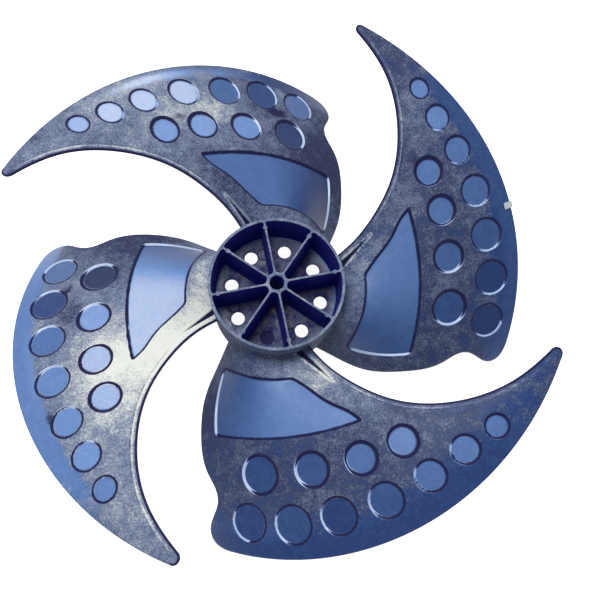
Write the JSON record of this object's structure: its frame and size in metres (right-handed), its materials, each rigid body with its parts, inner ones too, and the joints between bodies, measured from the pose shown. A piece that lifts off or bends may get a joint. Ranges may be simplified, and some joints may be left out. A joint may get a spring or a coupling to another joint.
{
  "type": "axial fan impeller",
  "caption": "Axial fan impeller with swept, dimpled sickle blades round a ribbed cup hub bored for a D-shaped shaft, with a clip-on balance weight.",
  "frame": {"origin": "on the shaft axis, in the plane of the nut seat at the lower end of the hub's boss", "axes": "+Z along the shaft axis towards the motor, out of the hub's open side; +X and +Y lie in the plane of the hub, a quarter turn apart like the blades"},
  "size_m": [0.46, 0.46, 0.1432],
  "materials": {
    "navy_plastic": "fine moulded grain under grey dust",
    "spring_steel": "plain"
  },
  "bodies": {
    "root": {"impeller": "navy_plastic", "balance_clip": "spring_steel"}
  },
  "joints": []
}
